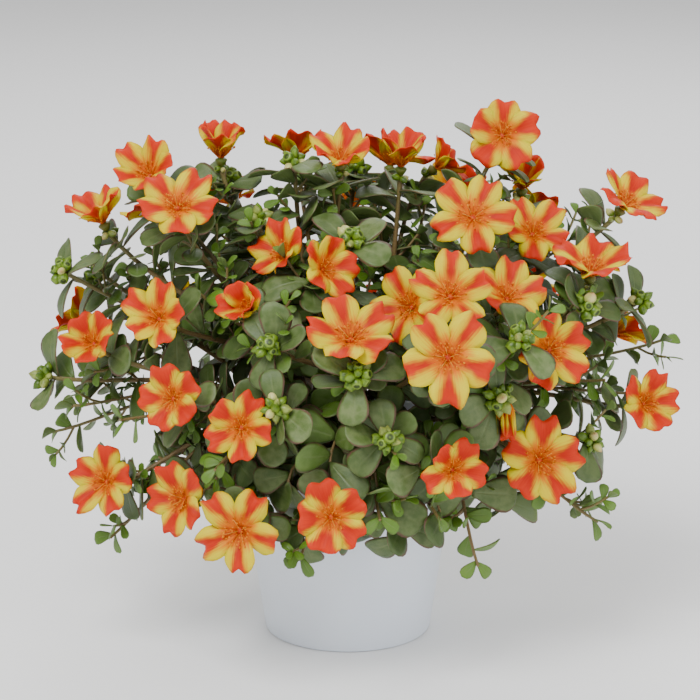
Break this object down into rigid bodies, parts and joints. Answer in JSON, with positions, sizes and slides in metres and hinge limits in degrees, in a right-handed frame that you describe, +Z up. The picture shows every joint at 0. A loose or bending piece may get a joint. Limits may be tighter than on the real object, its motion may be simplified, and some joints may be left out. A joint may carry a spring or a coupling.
{
  "type": "potted portulaca plant",
  "caption": "Round tapered white pot holding a mounded portulaca with spoon-shaped leaves, buds and open striped flowers.",
  "frame": {"origin": "middle of the pot's flat base", "axes": "+Z up along the pot's axis, -Y towards the viewer of the picture, +X to the viewer's right"},
  "size_m": [0.3669, 0.3197, 0.3079],
  "materials": {
    "white_pot": "smooth satin white",
    "potting_soil": "dark crumbly potting soil",
    "leafy_green": "fleshy grey-green leaves, stems and buds, lightly waxy",
    "petals": "soft petals striped red-orange and lemon yellow"
  },
  "bodies": {
    "root": {"bloom_01": "petals", "bloom_02": "petals", "bloom_03": "petals", "bloom_04": "petals", "bloom_05": "petals", "bloom_06": "petals", "bloom_07": "petals", "bloom_08": "petals", "bloom_09": "petals", "bloom_10": "petals", "bloom_11": "petals", "bloom_12": "petals", "bloom_13": "petals", "bloom_14": "petals", "bloom_15": "petals", "bloom_16": "petals", "bloom_17": "petals", "bloom_18": "petals", "bloom_19": "petals", "bloom_20": "petals", "bloom_21": "petals", "bloom_22": "petals", "bloom_23": "petals", "bloom_24": "petals", "bloom_25": "petals", "bloom_26": "petals", "bloom_27": "petals", "bloom_28": "petals", "bloom_29": "petals", "bloom_30": "petals", "bloom_31": "petals", "bloom_32": "petals", "bloom_33": "petals", "bloom_34": "petals", "bloom_35": "petals", "bloom_36": "petals", "bloom_37": "petals", "bloom_38": "petals", "bloom_39": "petals", "bloom_40": "petals", "bloom_41": "petals", "bloom_42": "petals", "bloom_43": "petals", "bloom_44": "petals", "bloom_45": "petals", "bloom_46": "petals", "bloom_47": "petals", "branch_01": "leafy_green", "branch_02": "leafy_green", "branch_03": "leafy_green", "branch_04": "leafy_green", "branch_05": "leafy_green", "branch_06": "leafy_green", "branch_07": "leafy_green", "branch_08": "leafy_green", "branch_09": "leafy_green", "branch_10": "leafy_green", "branch_11": "leafy_green", "pot": "white_pot", "soil": "potting_soil"}
  },
  "joints": []
}
